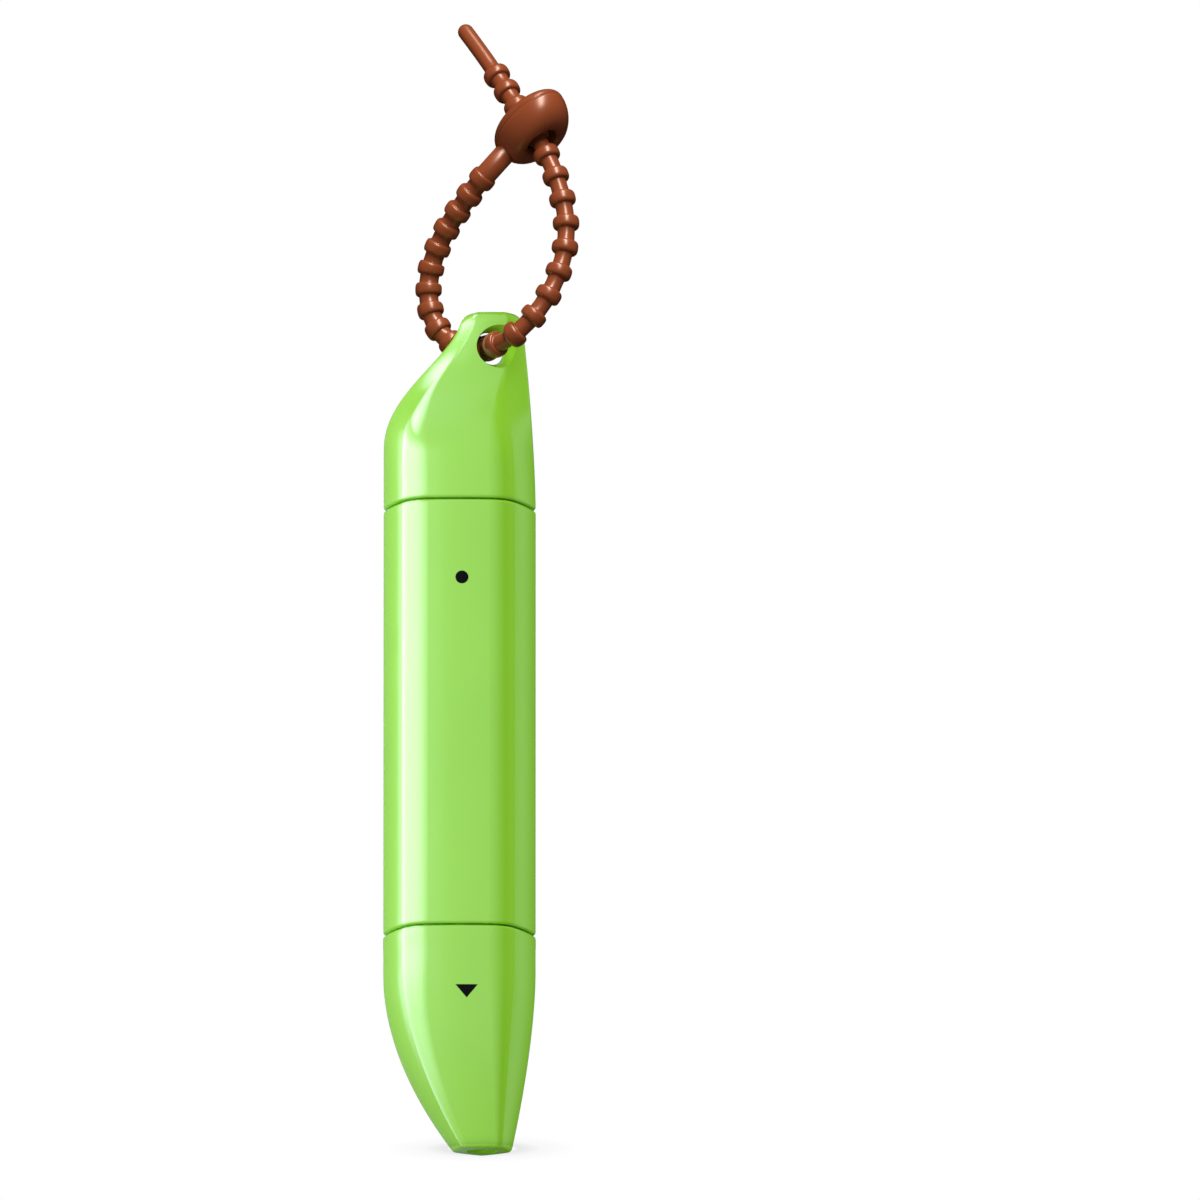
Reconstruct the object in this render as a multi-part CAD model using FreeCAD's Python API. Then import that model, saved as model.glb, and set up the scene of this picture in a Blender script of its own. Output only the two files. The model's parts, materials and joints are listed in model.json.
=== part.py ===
import FreeCAD, Part
import math
import os

from FreeCAD import Vector

# Stain remover pen shaped like a banana, standing on its brush cap. Millimetres, +Z up.
# The flat front faces -Y, and both tips lean to +X.

# Body: a rounded five-sided section, as a banana has
BODY_WIDTH = 23.4
BODY_DEPTH = 22.6
CORNER_RADIUS = 5.0
FACE_SHIFT = -0.1
SIDE_BOW_DEGREES = 7.0
BARREL_LENGTH = 65.9
BARREL_WALL = 1.6
EDGE_ROUND = 0.45

# Caps and how they fit
BRUSH_CAP_LENGTH = 33.9
REMOVER_CAP_LENGTH = 30.6
CAP_WALL = 1.2
CAP_CLEARANCE = 0.12
SEAM_GAP = 0.25
NECK_LENGTH = 6.5
LEDGE_WIDTH = 0.9

# Brush cap tip
TAPER_LENGTH = 27.5
LEFT_TAPER_POWER = 1.9
RIGHT_TAPER_POWER = 1.6
DEPTH_TAPER_POWER = 1.9
TIP_LEFT = -0.9
TIP_RIGHT = 8.0
TIP_DEPTH = 9.6
TIP_CORNER = 1.2
TIP_ROUND = 0.8
TIP_FLOOR = 4.4
RECESS_RADIUS = 2.45
RECESS_DEPTH = 2.4

# Remover cap stem and its strap eye
SHOULDER_LENGTH = 21.4
SHOULDER_POWER = 1.2
FLATTEN_LENGTH = 20.0
LEAN_POWER = 1.6
STEM_LEFT = 0.35
STEM_RIGHT = 9.5
STEM_DEPTH = 6.0
STEM_CORNER = 1.3
STEM_TOP_ROUND = 1.7
EYE_X = 4.6
EYE_BELOW_TOP = 5.55
EYE_RADIUS = 2.55
EYE_FLARE = 7.0
EYE_TURN_DEGREES = 20.0

# Applicator end
NIB_RADIUS = 2.5
NIB_CLEARANCE = 0.1
NIB_PROUD = 3.6
NIB_TIP_ROUND = 1.7
NIB_COLLAR = 0.6
NIB_COLLAR_HEIGHT = 2.0
NIB_TRAVEL = 1.2
NOSE_WALL = 2.4
NOSE_HEIGHT = 2.2
NOSE_CONE_HEIGHT = 3.0
NOSE_LIP = 0.8
WEB_THICKNESS = 2.8
PLUG_LENGTH = 8.0
PLUG_CLEARANCE = 0.05
SKIRT_WALL = 0.8

# Liquid vial and valve
VIAL_WALL = 0.7
VIAL_CLEARANCE = 0.1
SEAL_SECTION = 0.4
SEAT_THICKNESS = 1.6
STEM_ROD_RADIUS = 0.8
STEM_HEAD_HEIGHT = 1.5
STEM_HEAD_EDGE = 0.9
SEAT_HOLE_GAP = 0.7
CAGE_WALL = 1.1
CAGE_GAP = 0.5
CAGE_FLOOR = 1.2
CAGE_HEIGHT = 11.0
CAGE_SLOTS = 3
CAGE_SLOT_WIDTH = 1.6
SPRING_WIRE_RADIUS = 0.22
SPRING_TURNS = 7
FIT = 0.05

# Inner cap that seals the nose
INNER_CAP_WALL = 0.9
INNER_CAP_HEADROOM = 0.7
SOCKET_HEIGHT = 3.2
SOCKET_WALL = 0.9

# Brush end
PLUG_CUP_DEPTH = 7.0
BRUSH_HEAD_HEIGHT = 3.2
BRUSH_HEAD_RIM = 0.8
TUFT_RADIUS = 0.72
TUFT_PITCH = 2.2
TUFT_RINGS = 2
TUFT_FLARE = 0.14
TUFT_TIP_ROOM = 7.6
TUFT_SOCKET = 2.0
TUFT_CLEARANCE = 0.03

# Silicone strap: a beaded cord, its lock head and a plain tail
CORD_RADIUS = 1.35
NECK_RADIUS = 1.5
TAIL_RADIUS = 1.2
BEAD_RADIUS = 2.03
BEAD_LENGTH = 1.9
BEAD_BEVEL = 0.55
BEAD_PITCH = 3.65
BEAD_COUNT = 28
FIRST_BEAD = 7.0
NECK_STUB = 3.4
LOCK_RADIUS = 6.25
LOCK_HEIGHT = 6.5
LOCK_RIM = 1.9
LOCK_BACK_INSET = 1.0
LOCK_HOLE_RADIUS = 2.35
LOCK_MOUTH_ROUND = 0.6
# Turning points of the strap from its lock head, down behind the stem, through the eye and up
# again into the lock, measured from the middle of the eye
STRAP_ROUTE = [
    (3.41, 1.0, 31.9),
    (-0.61, 3.11, 27.64),
    (-4.26, 5.89, 23.4),
    (-7.63, 8.59, 18.57),
    (-9.7, 9.96, 12.45),
    (-8.94, 8.97, 5.62),
    (-5.03, 7.4, 1.07),
    (-0.9, 3.19, 0.43),
    (0.32, -3.52, -0.2),
    (4.15, -6.55, 1.13),
    (8.78, -6.77, 6.31),
    (11.45, -5.78, 12.9),
    (11.92, -4.5, 18.84),
    (10.98, -3.26, 24.3),
    (8.88, -1.03, 30.49),
    (4.43, 2.23, 37.81),
    (1.49, 5.91, 43.24),
    (-1.1, 8.9, 47.84),
    (-3.64, 12.15, 52.46),
]
LOCK_ENTRY_INDEX = 14
LOCK_EXIT_INDEX = LOCK_ENTRY_INDEX + 1

# How finely the free forms are drawn: sections along a cap, angles up the stem's rounded top, the
# share of a strap run that its arc takes, rings to a bead, and steps along and round the tail
GOLDEN = 0.618
LEAST_CORNER = 0.3
CAP_SECTION_COUNT = 14
HOLLOW_SECTION_COUNT = 6
STEM_ROUND_STEPS = (0, 25, 50, 70, 84)
ARC_SHARE = 0.45
BEAD_RING_COUNT = 4
TAIL_STEPS = (0.35, 0.7, 1.0)
TAIL_ROUND_STEPS = (45, 75)
UP = Vector(0, 0, 1)
# A direction that the strap never runs along
STEADY = Vector(0.9, 0.4, 0)

# Worked-out heights and places
HALF_WIDTH = BODY_WIDTH / 2
FRONT = -BODY_DEPTH / 2
BACK = BODY_DEPTH / 2
Z_LOWER_SEAM = BRUSH_CAP_LENGTH
Z_UPPER_SEAM = Z_LOWER_SEAM + BARREL_LENGTH
Z_TOP = Z_UPPER_SEAM + REMOVER_CAP_LENGTH
Z_LOWER_NECK = Z_LOWER_SEAM - NECK_LENGTH
Z_UPPER_NECK = Z_UPPER_SEAM + NECK_LENGTH
Z_EYE = Z_TOP - EYE_BELOW_TOP
SIDE_BOW = math.radians(SIDE_BOW_DEGREES)


def corner_centres(left, right, front, back, corner):
    """The middles of the five corner arcs, from the front left corner round to the left one."""
    middle = (left + right) / 2
    reach = (right - left) / 2 - corner
    half_face = GOLDEN * reach
    near = front + corner + half_face * math.tan(SIDE_BOW / 2)
    far = back - corner
    side_y = between(near, far, GOLDEN)
    face = middle + FACE_SHIFT * (right - left) / BODY_WIDTH
    return [
        Vector(face - half_face, near, 0),
        Vector(face + half_face, near, 0),
        Vector(middle + reach, side_y, 0),
        Vector(middle, far, 0),
        Vector(middle - reach, side_y, 0),
    ]


def outward(a, b):
    """The outward normal of the side from a to b, on an outline that runs anticlockwise."""
    run = (b - a).normalize()
    return Vector(run.y, -run.x, 0)


def section(z, left, right, front, back, corner, inset=0.0):
    """A rounded five-sided wire with crowned sides at height z, or the one a wall's inset inside it."""
    radius = max(corner - inset, LEAST_CORNER)
    centres = corner_centres(left + inset, right - inset, front + inset, back - inset, radius)
    lift = Vector(0, 0, z)
    sides = []
    for i in range(5):
        a = centres[i]
        b = centres[(i + 1) % 5]
        half = (b - a).Length / 2
        normal = outward(a, b)
        middle = (a + b) * 0.5
        hub = middle - normal * (half / math.tan(SIDE_BOW))
        start = a + (a - hub).normalize() * radius + lift
        end = b + (b - hub).normalize() * radius + lift
        via = middle + normal * (half * math.tan(SIDE_BOW / 2) + radius) + lift
        sides.append((start, via, end))
    edges = []
    for i in range(5):
        start, via, end = sides[i]
        after = sides[(i + 1) % 5][0]
        corner_middle = centres[(i + 1) % 5] + lift
        turn = (end - corner_middle + after - corner_middle).normalize()
        edges.append(Part.Arc(start, via, end).toShape())
        edges.append(Part.Arc(end, corner_middle + turn * radius, after).toShape())
    return Part.Wire(edges)


def ease(t):
    """0 to 1 with a level start and end."""
    t = min(max(t, 0.0), 1.0)
    return t * t * (3 - 2 * t)


def settle(t):
    """0 to 1 with a start and end that are level and straight."""
    t = min(max(t, 0.0), 1.0)
    return t**3 * (10 - 15 * t + 6 * t * t)


def between(a, b, t):
    return a + (b - a) * t


def barrel_section(z, inset=0.0):
    return section(z, -HALF_WIDTH, HALF_WIDTH, FRONT, BACK, CORNER_RADIUS, inset)


BARREL_CENTRES = corner_centres(-HALF_WIDTH, HALF_WIDTH, FRONT, BACK, CORNER_RADIUS)
AXIS = sum(BARREL_CENTRES, Vector(0, 0, 0)) * (1 / 5)


def room_round_axis():
    """The radius of the largest circle round the pen's axis inside the barrel's outline."""
    rooms = []
    for i in range(5):
        a = BARREL_CENTRES[i]
        b = BARREL_CENTRES[(i + 1) % 5]
        rooms.append((a - AXIS).dot(outward(a, b)) + CORNER_RADIUS)
    return min(rooms)


def brush_cap_section(z, inset=0.0):
    """The brush cap tapers to its tip and leans to the right."""
    t = min(max((TAPER_LENGTH - z) / TAPER_LENGTH, 0.0), 1.0)
    tip_front = AXIS.y - TIP_DEPTH / 2
    tip_back = AXIS.y + TIP_DEPTH / 2
    return section(
        z,
        between(-HALF_WIDTH, TIP_LEFT, t**LEFT_TAPER_POWER),
        between(HALF_WIDTH, TIP_RIGHT, t**RIGHT_TAPER_POWER),
        between(FRONT, tip_front, t**DEPTH_TAPER_POWER),
        between(BACK, tip_back, t**DEPTH_TAPER_POWER),
        between(CORNER_RADIUS, TIP_CORNER, t),
        inset,
    )


def remover_cap_section(z, inset=0.0):
    """The remover cap's left shoulder sweeps in to a flat stem on the right."""
    t = max((z - Z_TOP + SHOULDER_LENGTH) / SHOULDER_LENGTH, 0.0)
    up = max((z - Z_UPPER_SEAM) / REMOVER_CAP_LENGTH, 0.0)
    thin = settle((z - Z_EYE + FLATTEN_LENGTH) / FLATTEN_LENGTH)
    return section(
        z,
        between(-HALF_WIDTH, STEM_LEFT, ease(t**SHOULDER_POWER)),
        between(HALF_WIDTH, STEM_RIGHT, up**LEAN_POWER),
        between(FRONT, AXIS.y - STEM_DEPTH / 2, thin),
        between(BACK, AXIS.y + STEM_DEPTH / 2, thin),
        between(CORNER_RADIUS, STEM_CORNER, thin),
        inset,
    )


def prism(wire, height):
    return Part.Face(wire).extrude(Vector(0, 0, height))


def even_heights(first, last, count):
    return [between(first, last, i / (count - 1)) for i in range(count)]


def loft(wires):
    return Part.makeLoft(wires, True, False)


def level_edges(solid, z):
    """The edges of a solid that lie flat at height z."""
    return [e for e in solid.Edges if all(abs(v.Point.z - z) < 1e-4 for v in e.Vertexes)]


def turned(profile):
    """A solid turned about the pen's axis, from (radius, height) corners."""
    points = [Vector(r, 0, z) for r, z in profile]
    face = Part.Face(Part.makePolygon(points + [points[0]]))
    solid = face.revolve(Vector(0, 0, 0), UP, 360)
    solid.translate(Vector(AXIS.x, AXIS.y, 0))
    return solid


def disc(radius, z, height):
    return Part.makeCylinder(radius, height, Vector(AXIS.x, AXIS.y, z))


def save(shape, name):
    solids = shape.Solids
    whole = solids[0] if len(solids) == 1 else Part.makeCompound(solids)
    whole.exportStep("parts/" + name + ".step")
    print(name, len(solids), "solids", round(whole.Volume, 2), "mm3", "valid", whole.isValid())


# Radii that follow from the room inside the barrel
SKIRT_OUT = room_round_axis() - BARREL_WALL - PLUG_CLEARANCE
VIAL_OUT = SKIRT_OUT - SKIRT_WALL - VIAL_CLEARANCE
VIAL_IN = VIAL_OUT - VIAL_WALL
SPOUT_OUT = VIAL_IN - VIAL_CLEARANCE
NIB_BORE = NIB_RADIUS + NIB_CLEARANCE
COLLAR_RADIUS = NIB_RADIUS + NIB_COLLAR
CHAMBER_RADIUS = COLLAR_RADIUS + NIB_CLEARANCE
NOSE_RADIUS = NIB_BORE + NOSE_WALL
INNER_CAP_TOP = NIB_BORE + NOSE_LIP + INNER_CAP_WALL
INNER_CAP_SKIRT = NOSE_RADIUS + CAP_CLEARANCE + INNER_CAP_WALL
SEAT_HOLE = STEM_ROD_RADIUS + SEAT_HOLE_GAP
STEM_HEAD_RADIUS = SEAT_HOLE + STEM_HEAD_EDGE
CAGE_IN = STEM_HEAD_RADIUS + CAGE_GAP
CAGE_OUT = CAGE_IN + CAGE_WALL

# Heights of the applicator stack, from the tip of the nib down to the end of the spout
Z_NOSE_TOP = Z_UPPER_NECK + NOSE_HEIGHT + NOSE_CONE_HEIGHT
Z_NIB_TIP = Z_NOSE_TOP + NIB_PROUD
Z_WEB = Z_UPPER_NECK - WEB_THICKNESS
Z_COLLAR_TOP = Z_WEB + NIB_CLEARANCE
Z_NIB_REAR = Z_COLLAR_TOP - NIB_COLLAR_HEIGHT
Z_SEAT_TOP = Z_NIB_REAR - NIB_TRAVEL - WEB_THICKNESS
Z_SEAT = Z_SEAT_TOP - SEAT_THICKNESS
Z_CAGE = Z_SEAT - CAGE_HEIGHT
Z_SPOUT_END = Z_CAGE
Z_SEAL = (Z_SEAT_TOP + Z_NIB_REAR) / 2
Z_CEILING = Z_NIB_TIP + INNER_CAP_HEADROOM + INNER_CAP_WALL
Z_CUP = Z_LOWER_SEAM + PLUG_LENGTH - PLUG_CUP_DEPTH
Z_BRUSH_FACE = Z_LOWER_NECK - BRUSH_HEAD_HEIGHT
TUFT_LENGTH = Z_BRUSH_FACE - TIP_FLOOR - TUFT_TIP_ROOM


def brush_cap():
    """The lower cap: a tapering shell with a stop ledge inside and a round recess in its end."""
    mouth = Z_LOWER_SEAM - SEAM_GAP
    body = loft([brush_cap_section(z) for z in even_heights(mouth, 0.0, CAP_SECTION_COUNT)])
    body = body.makeFillet(EDGE_ROUND, level_edges(body, mouth))
    body = body.makeFillet(TIP_ROUND, level_edges(body, 0.0))
    socket = prism(barrel_section(Z_LOWER_NECK, CAP_WALL), NECK_LENGTH)
    levels = even_heights(Z_LOWER_NECK, TIP_FLOOR, HOLLOW_SECTION_COUNT)
    hollow = loft([brush_cap_section(z, CAP_WALL + LEDGE_WIDTH) for z in levels])
    recess_x = (TIP_LEFT + TIP_RIGHT) / 2
    recess = Part.makeCylinder(RECESS_RADIUS, RECESS_DEPTH, Vector(recess_x, AXIS.y, 0))
    return body.cut(socket.fuse(hollow)).cut(recess)


def remover_cap():
    """The upper cap: a shoulder and stem with a strap eye, hollow over the nose."""
    mouth = Z_UPPER_SEAM + SEAM_GAP
    round_start = Z_TOP - STEM_TOP_ROUND
    body = loft([remover_cap_section(z) for z in even_heights(mouth, round_start, CAP_SECTION_COUNT)])
    body = body.makeFillet(EDGE_ROUND, level_edges(body, mouth))
    rounding = []
    for degrees in STEM_ROUND_STEPS:
        turn = math.radians(degrees)
        z = round_start + STEM_TOP_ROUND * math.sin(turn)
        rounding.append(remover_cap_section(z, STEM_TOP_ROUND * (1 - math.cos(turn))))
    body = body.fuse(loft(rounding))
    socket = prism(barrel_section(Z_UPPER_SEAM, CAP_WALL), NECK_LENGTH)
    levels = even_heights(Z_UPPER_NECK, Z_CEILING, HOLLOW_SECTION_COUNT)
    hollow = loft([remover_cap_section(z, CAP_WALL + LEDGE_WIDTH) for z in levels])
    holder = disc(INNER_CAP_TOP + FIT + SOCKET_WALL, Z_CEILING - SOCKET_HEIGHT, SOCKET_HEIGHT)
    room = hollow.cut(holder).fuse(inner_cap_form(INNER_CAP_SKIRT + FIT, INNER_CAP_TOP + FIT, Z_CEILING))
    return body.cut(socket).cut(room).cut(eye_cutter())


def eye_cutter():
    """The strap eye's hole, turned a little to the side that the strap comes from, with flared rims."""
    half = STEM_DEPTH
    flare = EYE_FLARE - math.sqrt(EYE_FLARE**2 - half**2)
    top = Vector(EYE_RADIUS + flare, half, 0)
    bottom = Vector(EYE_RADIUS + flare, -half, 0)
    wall = Part.Arc(bottom, Vector(EYE_RADIUS, 0, 0), top).toShape()
    rest = Part.makePolygon([top, Vector(0, half, 0), Vector(0, -half, 0), bottom])
    face = Part.Face(Part.Wire([wall] + rest.Edges))
    hole = face.revolve(Vector(0, 0, 0), Vector(0, 1, 0), 360)
    hole.rotate(Vector(0, 0, 0), UP, EYE_TURN_DEGREES)
    hole.translate(Vector(EYE_X, AXIS.y, Z_EYE))
    return hole


def barrel_shell():
    body = prism(barrel_section(Z_LOWER_SEAM), BARREL_LENGTH)
    ends = level_edges(body, Z_LOWER_SEAM) + level_edges(body, Z_UPPER_SEAM)
    body = body.makeFillet(EDGE_ROUND, ends)
    return body.cut(prism(barrel_section(Z_LOWER_SEAM, BARREL_WALL), BARREL_LENGTH))


def front_section():
    """Closes the barrel's top: plug, cap neck, nose and the spout that the valve sits in."""
    plug = prism(barrel_section(Z_UPPER_SEAM - PLUG_LENGTH, BARREL_WALL + PLUG_CLEARANCE), PLUG_LENGTH)
    neck = prism(barrel_section(Z_UPPER_SEAM, CAP_WALL + CAP_CLEARANCE), NECK_LENGTH)
    rounded = neck.makeFillet(EDGE_ROUND, level_edges(neck, Z_UPPER_NECK))
    nose_side = Z_UPPER_NECK + NOSE_HEIGHT
    nose = turned(
        [
            (0, Z_WEB),
            (NOSE_RADIUS, Z_WEB),
            (NOSE_RADIUS, nose_side),
            (NIB_BORE + NOSE_LIP, Z_NOSE_TOP),
            (0, Z_NOSE_TOP),
        ]
    )
    body = plug.fuse(rounded).cut(disc(VIAL_OUT + VIAL_CLEARANCE, 0, Z_WEB)).fuse(nose)
    body = body.fuse(disc(SPOUT_OUT, Z_SPOUT_END, Z_WEB - Z_SPOUT_END))
    body = body.cut(disc(CAGE_OUT + FIT, Z_SPOUT_END, Z_SEAT_TOP - Z_SPOUT_END))
    body = body.cut(disc(CHAMBER_RADIUS, Z_SEAT_TOP, Z_COLLAR_TOP - Z_SEAT_TOP))
    body = body.cut(disc(NIB_BORE, Z_COLLAR_TOP, Z_NOSE_TOP - Z_COLLAR_TOP))
    groove_height = 2 * SEAL_SECTION + 2 * FIT
    groove_foot = Z_SEAL - groove_height / 2
    groove = disc(SPOUT_OUT, groove_foot, groove_height)
    return body.cut(groove.cut(disc(VIAL_IN - 2 * SEAL_SECTION - FIT, groove_foot, groove_height)))


def vial_o_ring():
    middle = VIAL_IN - SEAL_SECTION - FIT / 2
    return Part.makeTorus(middle, SEAL_SECTION, Vector(AXIS.x, AXIS.y, Z_SEAL))


def reservoir_vial():
    body = disc(VIAL_OUT, Z_CUP, Z_WEB - Z_CUP)
    body = body.makeFillet(VIAL_WALL, level_edges(body, Z_CUP))
    return body.cut(disc(VIAL_IN, Z_CUP + VIAL_WALL, Z_WEB - Z_CUP))


def felt_nib():
    body = turned(
        [
            (0, Z_NIB_REAR),
            (COLLAR_RADIUS, Z_NIB_REAR),
            (COLLAR_RADIUS, Z_COLLAR_TOP),
            (NIB_RADIUS, Z_COLLAR_TOP),
            (NIB_RADIUS, Z_NIB_TIP),
            (0, Z_NIB_TIP),
        ]
    )
    return body.makeFillet(NIB_TIP_ROUND, level_edges(body, Z_NIB_TIP))


def valve_seat():
    return disc(CAGE_OUT, Z_SEAT, SEAT_THICKNESS).cut(disc(SEAT_HOLE, Z_SEAT, SEAT_THICKNESS))


def valve_stem():
    head = Z_SEAT - STEM_HEAD_HEIGHT
    tail_end = Z_CAGE + NIB_TRAVEL / 2
    return turned(
        [
            (0, tail_end),
            (STEM_ROD_RADIUS, tail_end),
            (STEM_ROD_RADIUS, head),
            (STEM_HEAD_RADIUS, head),
            (STEM_HEAD_RADIUS, Z_SEAT),
            (STEM_ROD_RADIUS, Z_SEAT),
            (STEM_ROD_RADIUS, Z_NIB_REAR),
            (0, Z_NIB_REAR),
        ]
    )


def valve_cage():
    body = disc(CAGE_OUT, Z_CAGE, CAGE_HEIGHT).cut(disc(CAGE_IN, Z_CAGE + CAGE_FLOOR, CAGE_HEIGHT))
    body = body.cut(disc(STEM_ROD_RADIUS + NIB_CLEARANCE, Z_CAGE, CAGE_FLOOR))
    slot_height = CAGE_HEIGHT - 2 * STEM_HEAD_HEIGHT - 2 * CAGE_FLOOR
    for i in range(CAGE_SLOTS):
        slot = Part.makeBox(CAGE_OUT, CAGE_SLOT_WIDTH, slot_height)
        slot.translate(Vector(0, -CAGE_SLOT_WIDTH / 2, Z_CAGE + 2 * CAGE_FLOOR))
        slot.rotate(Vector(0, 0, 0), UP, 360 * i / CAGE_SLOTS)
        slot.translate(Vector(AXIS.x, AXIS.y, 0))
        body = body.cut(slot.cut(disc(CAGE_IN - FIT, Z_CAGE, CAGE_HEIGHT)))
    return body


def biarc(p, out, q, into):
    """Two arcs that leave p along out and reach q along into, joined without a corner."""
    span = q - p
    both = out + into
    spread = 2 * (1 - out.dot(into))
    lean = span.dot(both)
    reach = (math.sqrt(lean**2 + spread * span.dot(span)) - lean) / spread
    first = p + out * reach
    second = q - into * reach
    joint = (first + second) * 0.5
    return [rounding_arc(p, first, joint), rounding_arc(joint, second, q)]


def rounding_arc(a, corner, b):
    """The arc from a to b that touches the lines from a and b to the corner between them."""
    chord_middle = (a + b) * 0.5
    back = chord_middle - corner
    half_angle = math.atan2(back.Length, (b - a).Length / 2)
    radius = (b - a).Length / 2 / math.sin(half_angle)
    via = corner + back * (radius * (1 / math.cos(half_angle) - 1) / back.Length)
    return Part.Arc(a, via, b).toShape()


def valve_spring():
    """A compression spring between the cage's floor and the head of the stem."""
    coil_radius = (STEM_ROD_RADIUS + STEM_HEAD_RADIUS) / 2 + SPRING_WIRE_RADIUS
    low = Z_CAGE + CAGE_FLOOR + SPRING_WIRE_RADIUS + FIT
    high = Z_SEAT - STEM_HEAD_HEIGHT - SPRING_WIRE_RADIUS - FIT
    rise = (high - low) / SPRING_TURNS
    quarters = 4 * SPRING_TURNS

    def at(i):
        turn = i * math.pi / 2
        place = Vector(coil_radius * math.cos(turn), coil_radius * math.sin(turn), low + rise * i / 4)
        run = Vector(-math.sin(turn), math.cos(turn), rise / (2 * math.pi * coil_radius)).normalize()
        return place, run

    edges = []
    for i in range(quarters):
        p, out = at(i)
        q, into = at(i + 1)
        edges += biarc(p, out, q, into)
    start, run = at(0)
    ring = Part.Wire(Part.Circle(start, run, SPRING_WIRE_RADIUS).toShape())
    spring = Part.Wire(edges).makePipeShell([ring], True, False)
    spring.translate(Vector(AXIS.x, AXIS.y, 0))
    print("spring gap between turns", round(rise - 2 * SPRING_WIRE_RADIUS, 2))
    return spring


def inner_cap_form(skirt_radius, top_radius, top):
    """A skirt round the nose that narrows to a plain round top."""
    foot = Z_UPPER_NECK + SEAM_GAP
    bend = Z_UPPER_NECK + NOSE_HEIGHT
    cone_top = Z_CEILING - SOCKET_HEIGHT - SEAM_GAP
    return turned(
        [
            (0, foot),
            (skirt_radius, foot),
            (skirt_radius, bend),
            (top_radius, cone_top),
            (top_radius, top),
            (0, top),
        ]
    )


def inner_cap():
    """A soft cup in the remover cap that closes round the nose."""
    wall = INNER_CAP_WALL
    outside = inner_cap_form(INNER_CAP_SKIRT, INNER_CAP_TOP, Z_CEILING)
    return outside.cut(inner_cap_form(INNER_CAP_SKIRT - wall, INNER_CAP_TOP - wall, Z_CEILING - wall))


def tuft_places():
    """Rings of tufts round the pen's axis, six more in each ring."""
    places = [Vector(AXIS.x, AXIS.y, 0)]
    for ring in range(1, TUFT_RINGS + 1):
        for i in range(6 * ring):
            turn = 2 * math.pi * i / (6 * ring)
            out = Vector(math.cos(turn), math.sin(turn), 0) * (TUFT_PITCH * ring)
            places.append(Vector(AXIS.x, AXIS.y, 0) + out)
    return places


def brush_base():
    """Closes the barrel's bottom: a cup under the vial, a neck for the cap and the brush head."""
    plug = prism(barrel_section(Z_LOWER_SEAM, BARREL_WALL + PLUG_CLEARANCE), PLUG_LENGTH)
    neck = prism(barrel_section(Z_LOWER_NECK, CAP_WALL + CAP_CLEARANCE), NECK_LENGTH)
    rounded = neck.makeFillet(EDGE_ROUND, level_edges(neck, Z_LOWER_NECK))
    head = disc(TUFT_RINGS * TUFT_PITCH + TUFT_RADIUS + BRUSH_HEAD_RIM, Z_BRUSH_FACE, BRUSH_HEAD_HEIGHT)
    head = head.makeFillet(BRUSH_HEAD_RIM / 2, level_edges(head, Z_BRUSH_FACE))
    body = plug.fuse(rounded).fuse(head)
    body = body.cut(disc(VIAL_OUT + VIAL_CLEARANCE, Z_CUP, PLUG_CUP_DEPTH))
    holes = []
    for place in tuft_places():
        base = place + Vector(0, 0, Z_BRUSH_FACE)
        holes.append(Part.makeCylinder(TUFT_RADIUS + TUFT_CLEARANCE, TUFT_SOCKET, base))
    return body.cut(Part.makeCompound(holes))


def bristle_tufts():
    """Tufts set in the brush head, spreading a little towards their tips."""
    tufts = []
    for place in tuft_places():
        face = place + Vector(0, 0, Z_BRUSH_FACE)
        root = Part.makeCylinder(TUFT_RADIUS, TUFT_SOCKET, face)
        free = Part.makeCone(TUFT_RADIUS, TUFT_RADIUS + TUFT_FLARE, TUFT_LENGTH, face, -UP)
        tufts.append(root.fuse(free).removeSplitter())
    return Part.makeCompound(tufts)


def strap_points():
    eye = Vector(EYE_X, AXIS.y, Z_EYE)
    return [eye + Vector(*point) for point in STRAP_ROUTE]


def strap_path():
    """The strap's middle line: straight runs joined by arcs as large as the runs allow."""
    points = strap_points()
    edges = []
    last = points[0]
    radii = []
    for i in range(1, len(points) - 1):
        before = points[i - 1] - points[i]
        after = points[i + 1] - points[i]
        reach = ARC_SHARE * min(before.Length, after.Length)
        start = points[i] + before.normalize() * reach
        end = points[i] + after.normalize() * reach
        edges.append(Part.LineSegment(last, start).toShape())
        arc = rounding_arc(start, points[i], end)
        edges.append(arc)
        radii.append(round(arc.Curve.Radius, 1))
        last = end
    edges.append(Part.LineSegment(last, points[-1]).toShape())
    print("strap arc radii", radii)
    return edges


def along(edges, distance):
    """The point and direction at a distance along a path of edges."""
    for edge in edges:
        if distance <= edge.Length or edge is edges[-1]:
            parameter = edge.getParameterByLength(min(distance, edge.Length))
            return edge.valueAt(parameter), edge.tangentAt(parameter)
        distance -= edge.Length
    return None


def strap_ring(edges, distance, radius):
    """A circle square to the strap's path, started from a steady direction so lofts don't twist."""
    place, run = along(edges, distance)
    side = (STEADY - run * STEADY.dot(run)).normalize()
    circle = Part.Circle(place, run, radius)
    circle.XAxis = side
    return Part.Wire(circle.toShape())


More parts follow.
